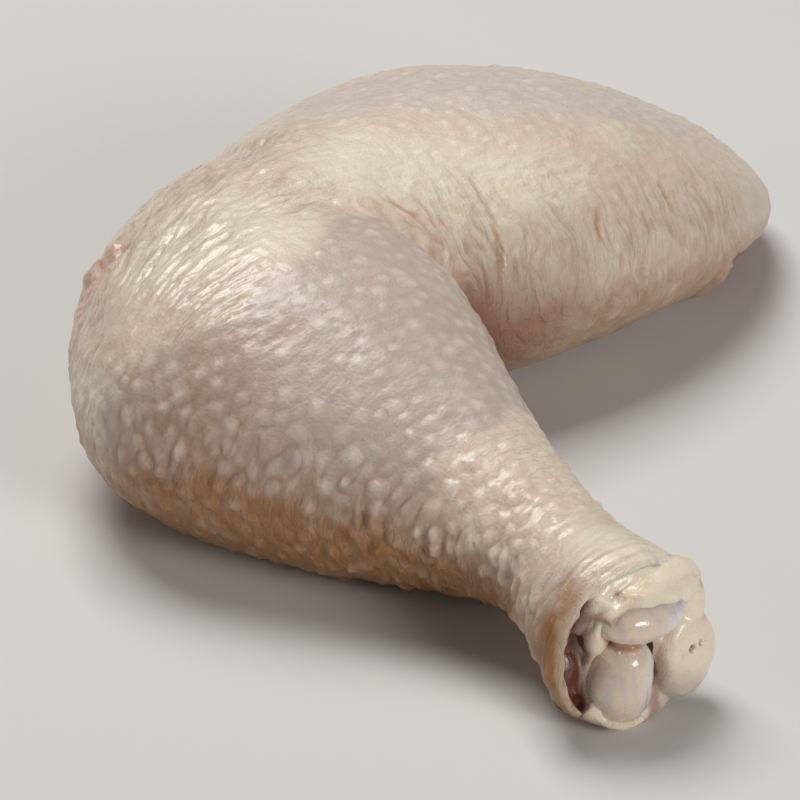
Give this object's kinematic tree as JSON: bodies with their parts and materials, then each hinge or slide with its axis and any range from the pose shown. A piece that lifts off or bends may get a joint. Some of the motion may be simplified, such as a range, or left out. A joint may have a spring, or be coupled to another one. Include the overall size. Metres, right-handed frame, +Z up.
{
  "type": "raw chicken leg quarter",
  "caption": "Raw poultry leg quarter with skin: drumstick and thigh folded at the knee, ankle joint showing in its cuff of skin.",
  "frame": {"origin": "under the middle of the whole leg, on the surface that it rests on", "axes": "+Z up, +Y along the leg's longest extent towards the hip end, +X to the right with the ankle at the front right"},
  "size_m": [0.1216, 0.185, 0.0497],
  "materials": {
    "skin": "moist raw poultry skin with goose bumps",
    "meat": "moist raw flesh",
    "fat": "moist cream fat and tendon",
    "cartilage": "wet smooth cartilage"
  },
  "bodies": {
    "root": {"leg": "skin", "thigh_meat": "meat", "ankle_tissue": "fat", "shank_joint": "cartilage"}
  },
  "joints": []
}
